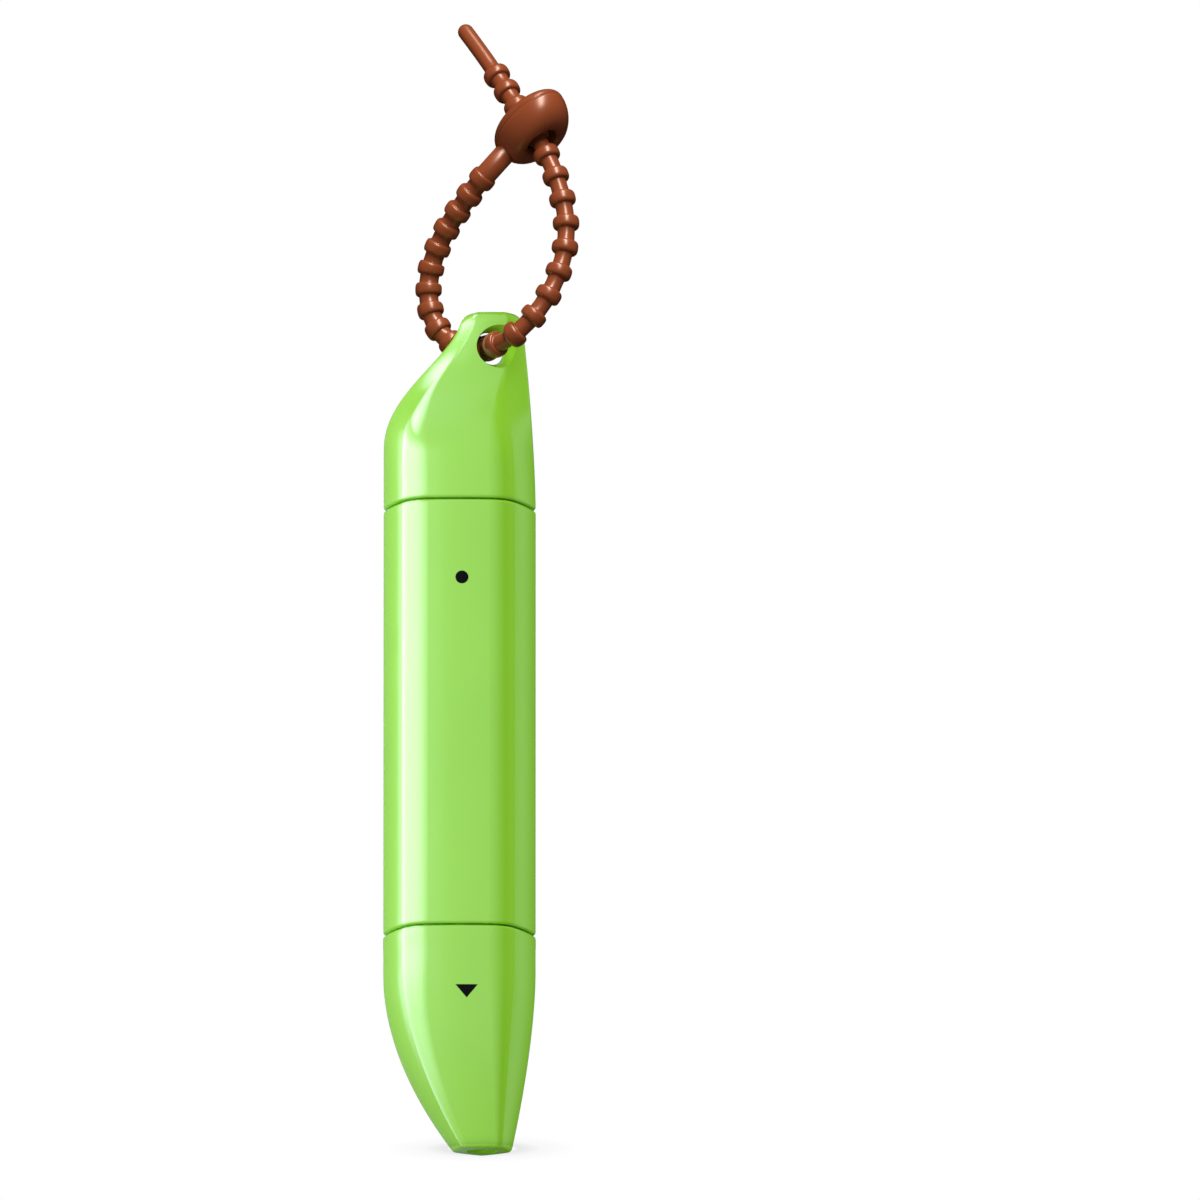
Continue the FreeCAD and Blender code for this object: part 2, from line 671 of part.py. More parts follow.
def strap_cord():
    """The beaded cord, one ruled skin through four circles a bead, and its plain tail."""
    edges = strap_path()
    length = sum(edge.Length for edge in edges)
    rings = [(NECK_STUB, NECK_RADIUS)]
    for i in range(BEAD_COUNT):
        middle = FIRST_BEAD + i * BEAD_PITCH
        after = CORD_RADIUS if i < BEAD_COUNT - 1 else TAIL_RADIUS
        rings.append((middle - BEAD_LENGTH / 2, CORD_RADIUS))
        rings.append((middle - BEAD_LENGTH / 2 + BEAD_BEVEL, BEAD_RADIUS))
        rings.append((middle + BEAD_LENGTH / 2 - BEAD_BEVEL, BEAD_RADIUS))
        rings.append((middle + BEAD_LENGTH / 2, after))
    tail_start = rings[-1][0]
    for share in TAIL_STEPS:
        rings.append((between(tail_start, length - TAIL_RADIUS, share), TAIL_RADIUS))
    for degrees in TAIL_ROUND_STEPS:
        turn = math.radians(degrees)
        rings.append((length - TAIL_RADIUS * (1 - math.sin(turn)), TAIL_RADIUS * math.cos(turn)))
    wires = [strap_ring(edges, s, r) for s, r in rings]
    starts = range(0, len(wires) - 1, BEAD_RING_COUNT)
    spans = [Part.makeLoft(wires[i : i + BEAD_RING_COUNT + 1], True, True) for i in starts]
    whole = sum(span.Volume for span in spans)
    print("strap length", round(length, 1), "tail from", round(tail_start, 1), "volume", round(whole, 2))
    return spans[0].multiFuse(spans[1:])


def upright_arc(start, end):
    """An arc from start, where it runs along the turning axis, in to an end nearer the axis."""
    span = start.x - end.x
    rise = end.z - start.z
    radius = (span**2 + rise**2) / (2 * span)
    half = math.asin(rise / radius) / 2
    via = start + Vector(-radius * (1 - math.cos(half)), 0, radius * math.sin(half))
    return Part.Arc(start, via, end).toShape()


def strap_lock():
    """The strap's dome head, turned about the hole that the beaded cord is drawn through."""
    points = strap_points()
    entry = points[LOCK_ENTRY_INDEX]
    leave = points[LOCK_EXIT_INDEX]
    inward = (entry - leave).normalize()
    back = (entry + leave) * 0.5 - inward * (LOCK_HEIGHT / 2)
    side = Vector(LOCK_RADIUS, 0, LOCK_RIM)
    back_edge = Vector(LOCK_RADIUS - LOCK_BACK_INSET, 0, 0)
    crown = Vector(LOCK_HOLE_RADIUS + LOCK_MOUTH_ROUND, 0, LOCK_HEIGHT)
    throat = Vector(LOCK_HOLE_RADIUS, 0, LOCK_HEIGHT - LOCK_MOUTH_ROUND)
    lip = LOCK_MOUTH_ROUND * (1 - math.sqrt(0.5))
    edges = [
        Part.LineSegment(Vector(LOCK_HOLE_RADIUS, 0, 0), back_edge).toShape(),
        upright_arc(side, back_edge),
        upright_arc(side, crown),
        Part.Arc(crown, Vector(LOCK_HOLE_RADIUS + lip, 0, LOCK_HEIGHT - lip), throat).toShape(),
        Part.LineSegment(throat, Vector(LOCK_HOLE_RADIUS, 0, 0)).toShape(),
    ]
    head = Part.Face(Part.Wire(edges)).revolve(Vector(0, 0, 0), UP, 360)
    head.Placement = FreeCAD.Placement(back, FreeCAD.Rotation(UP, inward))
    run = (points[1] - points[0]).normalize()
    return head.fuse(Part.makeCylinder(NECK_RADIUS, NECK_STUB, points[0], run))


os.makedirs("parts", exist_ok=True)
save(brush_cap(), "brush_cap")
save(barrel_shell(), "barrel_shell")
save(remover_cap(), "remover_cap")
save(inner_cap(), "inner_cap")
save(front_section(), "front_section")
save(felt_nib(), "felt_nib")
save(valve_seat(), "valve_seat")
save(valve_stem(), "valve_stem")
save(valve_spring(), "valve_spring")
save(valve_cage(), "valve_cage")
save(vial_o_ring(), "vial_o_ring")
save(reservoir_vial(), "reservoir_vial")
save(brush_base(), "brush_base")
save(bristle_tufts(), "bristle_tufts")
save(strap_cord(), "strap_cord")
save(strap_lock(), "strap_lock")
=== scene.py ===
# %% [markdown]
# # A stain remover pen that looks like a banana
# The pen has three glossy green shells, a felt applicator and a brush under its caps, and a brown
# silicone strap. The rigid pieces arrive as a finished model, so this lesson adds what such a model
# lacks: finishes, a supple beaded strap, single bristles, a helical spring and printed marks.

# %% Load the frame
import json
import math
import random

import bpy
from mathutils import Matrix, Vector
from mathutils.bvhtree import BVHTree


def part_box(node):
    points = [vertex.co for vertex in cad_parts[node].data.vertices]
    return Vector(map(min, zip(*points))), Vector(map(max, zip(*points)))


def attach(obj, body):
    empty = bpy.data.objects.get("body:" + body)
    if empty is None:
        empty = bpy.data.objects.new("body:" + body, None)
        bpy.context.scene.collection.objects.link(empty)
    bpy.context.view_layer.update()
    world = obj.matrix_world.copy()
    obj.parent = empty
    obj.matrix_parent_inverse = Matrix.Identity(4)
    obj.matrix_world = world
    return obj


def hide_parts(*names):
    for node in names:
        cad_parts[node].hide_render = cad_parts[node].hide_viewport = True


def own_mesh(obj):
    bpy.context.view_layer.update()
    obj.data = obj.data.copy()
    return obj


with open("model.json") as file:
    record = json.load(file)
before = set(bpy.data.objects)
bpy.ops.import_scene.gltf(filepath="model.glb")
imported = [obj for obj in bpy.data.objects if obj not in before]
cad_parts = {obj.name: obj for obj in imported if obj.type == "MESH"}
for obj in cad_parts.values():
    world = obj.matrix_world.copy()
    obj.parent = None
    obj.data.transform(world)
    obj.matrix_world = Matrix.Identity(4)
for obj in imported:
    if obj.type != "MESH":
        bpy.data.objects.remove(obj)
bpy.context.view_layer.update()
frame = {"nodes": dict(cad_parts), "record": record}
scene = bpy.context.scene
scene.view_settings.view_transform = "Standard"
MM = 0.001

# %% [markdown]
# ## Camera
# The pen is seen from a little below its foot, because the end of its lower tip shows. A long
# lens from far away keeps the sides of the barrel upright, as a catalogue picture does.

# %% Camera
VIEW_TARGET = Vector((21.6, 0.0, 85.8)) * MM
VIEW_DISTANCE = 6.0
VIEW_ELEVATION = math.radians(-9.0)
VIEW_WIDTH = 184.6 * MM
SENSOR_WIDTH = 36.0


def add_to_scene(name, data):
    """A new object that shows in the scene."""
    obj = bpy.data.objects.new(name, data)
    scene.collection.objects.link(obj)
    return obj


def aim(obj, place, target):
    """Stands a camera or lamp at a place, looking at a target."""
    obj.location = place
    obj.rotation_euler = (Vector(target) - Vector(place)).to_track_quat("-Z", "Y").to_euler()


camera = add_to_scene("camera", bpy.data.cameras.new("camera"))
camera.data.sensor_width = SENSOR_WIDTH
camera.data.lens = SENSOR_WIDTH * VIEW_DISTANCE / VIEW_WIDTH
towards_camera = Vector((0.0, -math.cos(VIEW_ELEVATION), math.sin(VIEW_ELEVATION)))
aim(camera, VIEW_TARGET + towards_camera * VIEW_DISTANCE, VIEW_TARGET)
scene.camera = camera
print("lens", round(camera.data.lens, 1), "mm")

# %% [markdown]
# ## Where things are
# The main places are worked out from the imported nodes, so the looks follow the model. The nib
# stands on the pen's long axis, and the strap's eye is a set distance under the top of the stem.

# %% Reference places
EYE_X = 4.6 * MM
EYE_BELOW_TOP = 5.55 * MM


def middle_of(node):
    """The middle of a node's box."""
    low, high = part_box(node)
    return (low + high) / 2


pen_axis = middle_of("felt_nib")
eye = Vector((EYE_X, pen_axis.y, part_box("remover_cap")[1].z - EYE_BELOW_TOP))
print("axis", [round(v / MM, 2) for v in pen_axis.xy], "eye", [round(v / MM, 2) for v in eye])

# %% [markdown]
# ## Mesh helpers
# Most pieces here are rings of points joined by quads: a strap, a bristle, a lock head. Modifiers
# could make them from curves, but rings give a say over every edge. One helper joins the rings,
# and another makes the mesh object and shades it smooth.

# %% Mesh helpers
def circle_turns(count):
    """Angles spread evenly round a circle."""
    return [2 * math.pi * i / count for i in range(count)]


def skin(rings, closed=True, caps=True):
    """Points and faces over rings. closed joins each ring's ends, and caps fills the end rings."""
    count = len(rings[0])
    points = [point for ring in rings for point in ring]
    faces = []
    for row in range(len(rings) - 1):
        for i in range(count if closed else count - 1):
            j = (i + 1) % count
            low, high = row * count, (row + 1) * count
            faces.append((low + i, low + j, high + j, high + i))
    if caps:
        last = (len(rings) - 1) * count
        faces.append(tuple(reversed(range(count))))
        faces.append(tuple(range(last, last + count)))
    return points, faces


def piece(name, points, faces, body, slot):
    """A smooth mesh object that rides on a body. The slot argument is not used."""
    mesh = bpy.data.meshes.new(name)
    mesh.from_pydata([tuple(p) for p in points], [], faces)
    mesh.shade_smooth()
    obj = add_to_scene(name, mesh)
    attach(obj, body)
    print(name, len(points), "points", len(faces), "faces")
    return obj


# %% [markdown]
# ## The strap's line
# A silicone tie strap bends in smooth curves. A Bezier curve could draw it, but each of its points
# needs two handles to stay smooth. A NURBS spline never kinks, because it is only pulled towards
# its control points. They start in the lock head, go down behind the stem, forward through the
# eye, and up through the lock to the tip of the tail.

# %% Strap line
STRAP_ROUTE_MM = [
    (3.41, 1.0, 31.9),
    (-0.73, 3.11, 27.75),
    (-4.33, 5.89, 23.5),
    (-7.66, 8.59, 18.6),
    (-9.7, 9.96, 12.45),
    (-9.02, 8.97, 5.62),
    (-5.03, 7.4, 1.07),
    (-0.9, 3.19, 0.43),
    (0.32, -3.52, -0.2),
    (4.15, -6.55, 1.13),
    (8.78, -6.77, 6.31),
    (11.48, -5.78, 13.0),
    (11.96, -4.5, 18.95),
    (10.91, -3.26, 24.5),
    (8.72, -1.03, 30.7),
    (4.43, 2.23, 37.81),
    (1.42, 5.91, 43.24),
    (-1.32, 8.9, 47.84),
    (-4.3, 12.15, 52.4),
]
LOCK_ENTRY_INDEX = 14
LOCK_EXIT_INDEX = LOCK_ENTRY_INDEX + 1
LINE_STEPS = 32
LINE_ORDER = 3
strap_route = [eye + Vector(point) * MM for point in STRAP_ROUTE_MM]


def spline_points(name, controls):
    """Points along the NURBS spline that a list of control points pulls into shape."""
    data = bpy.data.curves.new(name, "CURVE")
    data.dimensions = "3D"
    data.resolution_u = LINE_STEPS
    spline = data.splines.new("NURBS")
    spline.points.add(len(controls) - 1)
    for control, place in zip(spline.points, controls):
        control.co = (*place, 1.0)
    spline.order_u = LINE_ORDER
    spline.use_endpoint_u = True
    curve = bpy.data.objects.new(name, data)
    mesh = bpy.data.meshes.new_from_object(curve)
    line = [vertex.co.copy() for vertex in mesh.vertices]
    bpy.data.objects.remove(curve)
    bpy.data.curves.remove(data)
    bpy.data.meshes.remove(mesh)
    return line


strap_line = spline_points("strap_line", strap_route)
strap_length = sum((b - a).length for a, b in zip(strap_line, strap_line[1:]))
print("strap", round(strap_length / MM, 1), "mm along its line")

# %% [markdown]
# ## Rings that don't twist
# A tube needs a ring of points square to its line at each station. Carrying one side direction
# along the line, and straightening it a little at each step, keeps the rings from twisting.

# %% Rings along a line
FIRST_SIDE = Vector((0.9, 0.4, 0.0))
SHORTEST_STEP = 1e-9


def carried_frames(line):
    """The distance, place, direction and side direction at each point of a line."""
    frames = []
    distance = 0.0
    side = FIRST_SIDE
    for i, place in enumerate(line):
        ahead = line[min(i + 1, len(line) - 1)]
        behind = line[max(i - 1, 0)]
        run = (ahead - behind).normalized()
        side = (side - run * side.dot(run)).normalized()
        if i:
            distance += (place - line[i - 1]).length
        frames.append((distance, place, run, side))
    return frames


def ring_at(frames, distance, radius, count):
    """A ring of points square to the line at a distance along it."""
    at = 1
    while at < len(frames) - 1 and frames[at][0] < distance:
        at += 1
    start, start_place, start_run, start_side = frames[at - 1]
    end, end_place, end_run, end_side = frames[at]
    share = (distance - start) / max(end - start, SHORTEST_STEP)
    place = start_place.lerp(end_place, share)
    run = start_run.lerp(end_run, share).normalized()
    side = start_side.lerp(end_side, share)
    side = (side - run * side.dot(run)).normalized()
    other = run.cross(side)
    return [place + (side * math.cos(t) + other * math.sin(t)) * radius for t in circle_turns(count)]


strap_frames = carried_frames(strap_line)
print("frames along the strap:", len(strap_frames))

# %% [markdown]
# ## The beaded cord
# Each bead is a band moulded on the cord: steep flanks, a rounded crown and a tiny fillet at its
# foot, where the shade gathers. A profile of distance and radius, walked along the line, gives the
# stations. Real geometry is used here, because a bump map can't change an outline. The limb that
# is drawn through the lock is stretched: its beads stand further apart, on a thinner cord.

# %% Bead profile
BEAD_RADIUS = 2.06 * MM
BEAD_LENGTH = 1.9 * MM
BEAD_FILLET = 0.08 * MM
BEAD_FOOT = BEAD_FILLET / 3
BEAD_STEPS = 16
BAND_POWER = 0.72
CROWN_POWER = 0.66
CORD_RADIUS = 1.35 * MM


def bead_stations(middle, before, after):
    """Distance and radius over one bead, from the cord's radius before it to that after it."""
    stations = [(middle - BEAD_LENGTH / 2 - BEAD_FILLET, before)]
    for i in range(BEAD_STEPS + 1):
        turn = math.pi * (i / BEAD_STEPS - 0.5)
        foot = (before if turn < 0 else after) + BEAD_FOOT
        along = math.copysign(abs(math.sin(turn)) ** BAND_POWER, turn)
        crown = max(math.cos(turn), 0.0) ** CROWN_POWER
        stations.append((middle + BEAD_LENGTH / 2 * along, foot + (BEAD_RADIUS - foot) * crown))
    stations.append((middle + BEAD_LENGTH / 2 + BEAD_FILLET, after))
    return stations


print("stations over a bead:", len(bead_stations(0.0, CORD_RADIUS, CORD_RADIUS)))

# %% Beaded cord
NECK_RADIUS = 1.68 * MM
TAIL_RADIUS = 1.24 * MM
CORD_WAIST = 0.03 * MM
# Three runs of beads: the first one's place, the step between them, how many, and the cord's radius
BEAD_RUNS = [
    (7.1 * MM, 3.31 * MM, 13, 1.5 * MM),
    (50.9 * MM, 4.05 * MM, 12, CORD_RADIUS),
    (97.4 * MM, 3.68 * MM, 3, 1.4 * MM),
]
CORD_SIDES = 40
TIP_STEPS = 7


def tail_stations(start):
    """Distance and radius from the last bead along the plain tail and over its round tip."""
    tip = strap_length - TAIL_RADIUS
    stations = [(start + (tip - start) * i / TIP_STEPS, TAIL_RADIUS) for i in range(1, TIP_STEPS)]
    for i in range(TIP_STEPS):
        turn = math.pi / 2 * i / TIP_STEPS
        stations.append((tip + TAIL_RADIUS * math.sin(turn), TAIL_RADIUS * math.cos(turn)))
    return stations


def strap_stations():
    """Distance and radius from the neck at the lock head to the tip of the tail."""
    stations = [(0.0, NECK_RADIUS)]
    beads = []
    for first, step, count, radius in BEAD_RUNS:
        beads += [(first + i * step, radius) for i in range(count)]
    for i, (middle, radius) in enumerate(beads):
        before = NECK_RADIUS if i == 0 else radius
        after = TAIL_RADIUS if i == len(beads) - 1 else radius
        stations += bead_stations(middle, before, after)
        if i < len(beads) - 1:
            next_middle, next_radius = beads[i + 1]
            waist = (radius + next_radius) / 2 - CORD_WAIST
            stations.append(((middle + next_middle) / 2, waist))
    return stations + tail_stations(stations[-1][0])


cord_rings = [ring_at(strap_frames, s, r, CORD_SIDES) for s, r in strap_stations()]
beaded_cord = piece("beaded_cord", *skin(cord_rings), "strap", "strap_silicone")
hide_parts("strap_cord")

# %% [markdown]
# ## The lock head
# The cord is drawn through a fat silicone button that grips its beads. Its profile goes round its
# hole: a flat back with a rolled edge, the fine line where the mould parts, a round belly, and a
# soft lip round the mouth. The button is oval, longer in line with the cord that it grows from,
# so each ring is stretched along one direction. The pull of the cord holds it to one side.
# Sculpting could shape it too, but a profile keeps the parting line crisp and the hole round.

# %% Lock head profile
LOCK_RADIUS = 6.0 * MM
LOCK_HEIGHT = 5.8 * MM
LOCK_RIM = 1.5 * MM
LOCK_BACK_INSET = 1.0 * MM
LOCK_HOLE_RADIUS = 2.4 * MM
LOCK_LIP = 0.9 * MM
LOCK_SEAM = 0.12 * MM
ARC_STEPS = 14


def arc_points(start, end, centre):
    """Points on an ellipse quarter from start to end about a centre, in radius and height."""
    points = []
    for i in range(ARC_STEPS + 1):
        turn = math.pi / 2 * i / ARC_STEPS
        radius, height = (
            c + (s - c) * math.cos(turn) + (e - c) * math.sin(turn) for s, e, c in zip(start, end, centre)
        )
        points.append((radius, height))
    return points


lock_back = (LOCK_RADIUS - LOCK_BACK_INSET, 0.0)
lock_rim = (LOCK_RADIUS, LOCK_RIM - LOCK_SEAM)
lock_side = (LOCK_RADIUS, LOCK_RIM)
lock_crown = (LOCK_HOLE_RADIUS + LOCK_LIP, LOCK_HEIGHT)
lock_throat = (LOCK_HOLE_RADIUS, LOCK_HEIGHT - LOCK_LIP)
lock_hole_end = (LOCK_HOLE_RADIUS, LOCK_LIP)
lock_back_lip = (LOCK_HOLE_RADIUS + LOCK_LIP, 0.0)
lock_profile = (
    arc_points(lock_back, lock_rim, (lock_back[0], lock_rim[1]))
    + [(LOCK_RADIUS - LOCK_SEAM, LOCK_RIM - LOCK_SEAM / 2)]
    + arc_points(lock_side, lock_crown, (lock_crown[0], lock_side[1]))
    + arc_points(lock_crown, lock_throat, (lock_crown[0], lock_throat[1]))[1:]
    + arc_points(lock_hole_end, lock_back_lip, (lock_back_lip[0], lock_hole_end[1]))
)
print("lock head profile:", len(lock_profile), "points")

# %% Lock head
LOCK_SHIFT = Vector((0.3, 0.0, 0.05)) * MM
LOCK_LONG_WAY = Vector((0.51, -0.63, 0.59))
LOCK_STRETCH = 1.17
LOCK_SQUEEZE = 0.88
LOCK_SIDES = 64


def oval_rings(profile, origin, axis):
    """Rings of a profile of radius and height round an axis, round at the hole and oval outside."""
    long_way = (LOCK_LONG_WAY - axis * LOCK_LONG_WAY.dot(axis)).normalized()
    short_way = axis.cross(long_way)
    rings = []
    for radius, height in profile:
        foot = origin + axis * height
        oval = max(radius - LOCK_HOLE_RADIUS, 0.0) / (LOCK_RADIUS - LOCK_HOLE_RADIUS)
        length = long_way * radius * (1 + (LOCK_STRETCH - 1) * oval)
        breadth = short_way * radius * (1 + (LOCK_SQUEEZE - 1) * oval)
        turns = circle_turns(LOCK_SIDES)
        rings.append([foot + length * math.cos(t) + breadth * math.sin(t) for t in turns])
    return rings


lock_entry, lock_exit = strap_route[LOCK_ENTRY_INDEX], strap_route[LOCK_EXIT_INDEX]
lock_axis = (lock_entry - lock_exit).normalized()
lock_foot = (lock_entry + lock_exit) / 2 - lock_axis * LOCK_HEIGHT / 2 + LOCK_SHIFT
lock_rings = oval_rings(lock_profile + lock_profile[:1], lock_foot, lock_axis)
lock_head = piece("lock_head", *skin(lock_rings, caps=False), "strap", "strap_silicone")
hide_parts("strap_lock")

# %% [markdown]
# ## The bristles
# A tuft is a bundle of nylon filaments folded into a hole of the brush head. Each filament is a
# thin tube with a narrowed end that leans outwards a little, so the brush looks combed and not
# like a row of pegs. Hair strands could draw them too, but a mesh exports as it stands. A seeded
# random draw gives every run the same brush.

# %% Tufts
TUFT_PITCH = 2.2 * MM
TUFT_RINGS = 2
FIRST_RING_TUFTS = 6


def tuft_places():
    """The middle of each tuft: one on the axis, then rings of six, twelve and so on."""
    places = [(pen_axis.x, pen_axis.y)]
    for ring in range(1, TUFT_RINGS + 1):
        reach = TUFT_PITCH * ring
        for turn in circle_turns(FIRST_RING_TUFTS * ring):
            places.append((pen_axis.x + reach * math.cos(turn), pen_axis.y + reach * math.sin(turn)))
    return places


print("tufts:", len(tuft_places()))

# %% Bristles
TUFT_RADIUS = 0.72 * MM
TUFT_FLARE = 0.14 * MM
FLARE_POWER = 1.6
LEAN_POWER = 2
FILAMENT_RADIUS = 0.09 * MM
FILAMENT_END = 0.45
FILAMENTS = 26
FILAMENT_SIDES = 6
FILAMENT_STEPS = 5
FILAMENT_SPREAD = 0.35 * MM
FILAMENT_LEAN = FILAMENT_SPREAD / 4
TURN_SPREAD = 0.2
# A step of this angle from filament to filament spreads them evenly over the tuft
GOLDEN_TURN = math.pi * (3 - math.sqrt(5))
BRISTLE_SEED = 7
bristle_low, bristle_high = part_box("bristle_tufts")
draw = random.Random(BRISTLE_SEED)


def filament_rings(x, y, index):
    """The rings of one filament of the tuft at x, y."""
    turn = GOLDEN_TURN * index + draw.uniform(-TURN_SPREAD, TURN_SPREAD)
    root = (TUFT_RADIUS - FILAMENT_RADIUS) * math.sqrt((index + 0.5) / FILAMENTS)
    tip = root * (1 + TUFT_FLARE / TUFT_RADIUS)
    lean = draw.uniform(-1, 1) * FILAMENT_LEAN
    drop = draw.uniform(0, FILAMENT_SPREAD)
    outwards = Vector((math.cos(turn), math.sin(turn), 0))
    sideways = Vector((-math.sin(turn), math.cos(turn), 0))
    rings = []
    for step in range(FILAMENT_STEPS + 1):
        share = step / FILAMENT_STEPS
        height = bristle_high.z + (bristle_low.z + drop - bristle_high.z) * share
        reach = root + (tip - root) * share**FLARE_POWER
        middle = Vector((x, y, height)) + outwards * reach + sideways * lean * share**LEAN_POWER
        thin = FILAMENT_RADIUS * (FILAMENT_END if step == FILAMENT_STEPS else 1.0)
        turns = circle_turns(FILAMENT_SIDES)
        rings.append([middle + Vector((math.cos(t), -math.sin(t), 0)) * thin for t in turns])
    return rings


bristle_points, bristle_faces = [], []
for tuft_x, tuft_y in tuft_places():
    for filament in range(FILAMENTS):
        points, faces = skin(filament_rings(tuft_x, tuft_y, filament))
        first = len(bristle_points)
        bristle_points += points
        bristle_faces += [tuple(first + i for i in face) for face in faces]
bristles = piece("bristles", bristle_points, bristle_faces, "pen_body", "bristle_nylon")
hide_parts("bristle_tufts")

# %% [markdown]
# ## The valve's spring
# A compression spring shortens as the nib is pressed, and a rigid piece can't show that. So it is
# drawn again as a helix with a mesh of its own. The helpers that made the strap's rings make those
# of the wire.

# %% Spring
SPRING_TURNS = 7
SPRING_WIRE_RADIUS = 0.22 * MM
SPRING_STEPS = 36
SPRING_SIDES = 12
spring_low, spring_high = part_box("valve_spring")


def helix_points():
    """Points along the middle of the spring's wire, from its foot to its top."""
    reach = (spring_high.x - spring_low.x) / 2 - SPRING_WIRE_RADIUS
    rise = spring_high.z - spring_low.z - 2 * SPRING_WIRE_RADIUS
    count = SPRING_TURNS * SPRING_STEPS
    points = []
    for i in range(count + 1):
        turn = 2 * math.pi * i / SPRING_STEPS
        height = spring_low.z + SPRING_WIRE_RADIUS + rise * i / count
        x, y = reach * math.cos(turn), reach * math.sin(turn)
        points.append(Vector((pen_axis.x + x, pen_axis.y + y, height)))
    return points


wire_frames = carried_frames(helix_points())
wire_stations = [distance for distance, *_ in wire_frames]
wire_rings = [ring_at(wire_frames, s, SPRING_WIRE_RADIUS, SPRING_SIDES) for s in wire_stations]
spring_coil = piece("spring_coil", *skin(wire_rings), "pen_body", "spring_steel")
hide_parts("valve_spring")
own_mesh(spring_coil)

# %% [markdown]
# ## Printed marks
# Two plain marks tell the ends apart: a dot for the liquid and a triangle that points at the
# brush. A texture could carry them, but a patch keeps a crisp edge from close by. Ink is a thin
# layer, so each patch is laid on the shell by casting rays at it.

# %% Laying ink
INK_LAYER = 0.02 * MM
RAY_START = 1.0 * MM
BACKWARDS = Vector((0, 1, 0))


def surface_of(node):
    """A node's faces, ready to be hit by rays."""
    mesh = frame["nodes"][node].data
    return BVHTree.FromPolygons([v.co for v in mesh.vertices], [p.vertices for p in mesh.polygons])


def ink_patch(name, rows, node, body, closed):
    """A thin layer over rows of x and z places, laid on the front of a node."""
    surface = surface_of(node)
    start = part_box(node)[0].y - RAY_START
    top, under = [], []
    for row in rows:
        hits = [surface.ray_cast(Vector((x, start, z)), BACKWARDS)[0] for x, z in row]
        top.append([hit - BACKWARDS * INK_LAYER for hit in hits])
        under.append([hit + BACKWARDS * INK_LAYER for hit in hits])
    points, faces = skin(top + under[::-1], closed=closed, caps=closed)
    return piece(name, points, faces, body, None)


# %% Dot and triangle
DOT_X, DOT_Z = 0.4 * MM, 87.6 * MM
DOT_RADIUS = 1.0 * MM
DOT_SIDES = 48
ARROW_LEFT, ARROW_RIGHT = -0.55 * MM, 2.85 * MM
ARROW_TOP, ARROW_TIP = 24.4 * MM, 22.4 * MM
ARROW_COLUMNS = 6
PATCH_ROWS = 6

dot_rows = []
for row in range(1, PATCH_ROWS + 1):
    reach = DOT_RADIUS * row / PATCH_ROWS
    turns = circle_turns(DOT_SIDES)
    dot_rows.append([(DOT_X + reach * math.cos(t), DOT_Z + reach * math.sin(t)) for t in turns])
remover_dot = ink_patch("remover_dot", dot_rows, "barrel_shell", "pen_body", True)

arrow_middle = (ARROW_LEFT + ARROW_RIGHT) / 2
arrow_rows = []
for row in range(PATCH_ROWS + 1):
    share = row / PATCH_ROWS
    reach = (ARROW_RIGHT - ARROW_LEFT) / 2 * (1 - share) + INK_LAYER
    height = ARROW_TOP + (ARROW_TIP - ARROW_TOP) * share
    columns = [2 * i / ARROW_COLUMNS - 1 for i in range(ARROW_COLUMNS + 1)]
    arrow_rows.append([(arrow_middle + reach * column, height) for column in columns])
brush_arrow = ink_patch("brush_arrow", arrow_rows, "brush_cap", "brush_cap", False)

# %% [markdown]
# ## Node helpers
# A material is a tree of nodes, and wiring it by hand repeats the same few steps. These helpers do
# the arithmetic between sockets, make ramps of grey and lay noise over a piece.

# %% Node helpers
def math_node(tree, operation, first, second):
    """A math node whose two inputs are sockets or plain numbers."""
    node = tree.nodes.new("ShaderNodeMath")
    node.operation = operation
    for socket, value in zip(node.inputs, (first, second)):
        if isinstance(value, (int, float)):
            socket.default_value = value
        else:
            tree.links.new(value, socket)
    return node.outputs[0]


def math_chain(tree, operation, *values):
    """The same operation over several sockets or numbers, two at a time."""
    result = values[0]
    for value in values[1:]:
        result = math_node(tree, operation, result, value)
    return result


def between(tree, factor, low, high):
    """A value that goes from low to high as a factor goes from 0 to 1."""
    value = math_node(tree, "MULTIPLY_ADD", factor, high - low)
    value.node.inputs[2].default_value = low
    return value


def grey_ramp(tree, share, stops):
    """A ramp of greys over a socket that runs from 0 to 1, from stops of place and level."""
    ramp = tree.nodes.new("ShaderNodeValToRGB")
    elements = ramp.color_ramp.elements
    elements.remove(elements[0])
    for i, (place, level) in enumerate(stops):
        stop = elements[0] if i == 0 else elements.new(place)
        stop.position = place
        stop.color = (level, level, level, 1.0)
    tree.links.new(share, ramp.inputs["Fac"])
    return ramp.outputs["Color"]


def noise_node(tree, scale, detail):
    """Noise over the object's own coordinates."""
    place = tree.nodes.new("ShaderNodeTexCoord")
    noise = tree.nodes.new("ShaderNodeTexNoise")
    noise.inputs["Detail"].default_value = detail
    tree.links.new(place.outputs["Object"], noise.inputs["Vector"])
    if isinstance(scale, (int, float)):
        noise.inputs["Scale"].default_value = scale
    else:
        tree.links.new(scale, noise.inputs["Scale"])
    return noise.outputs["Fac"]


# %% [markdown]
# ## Moulded skin
# Moulded plastic is never perfectly even: its colour drifts, its gloss has faint patches, and its
# skin has a slight orange peel. Each material could have its own noise, but one node group makes
# it once, and each material sets its own amounts. The group puts out only colours and values, and
# the shader stays in the material.

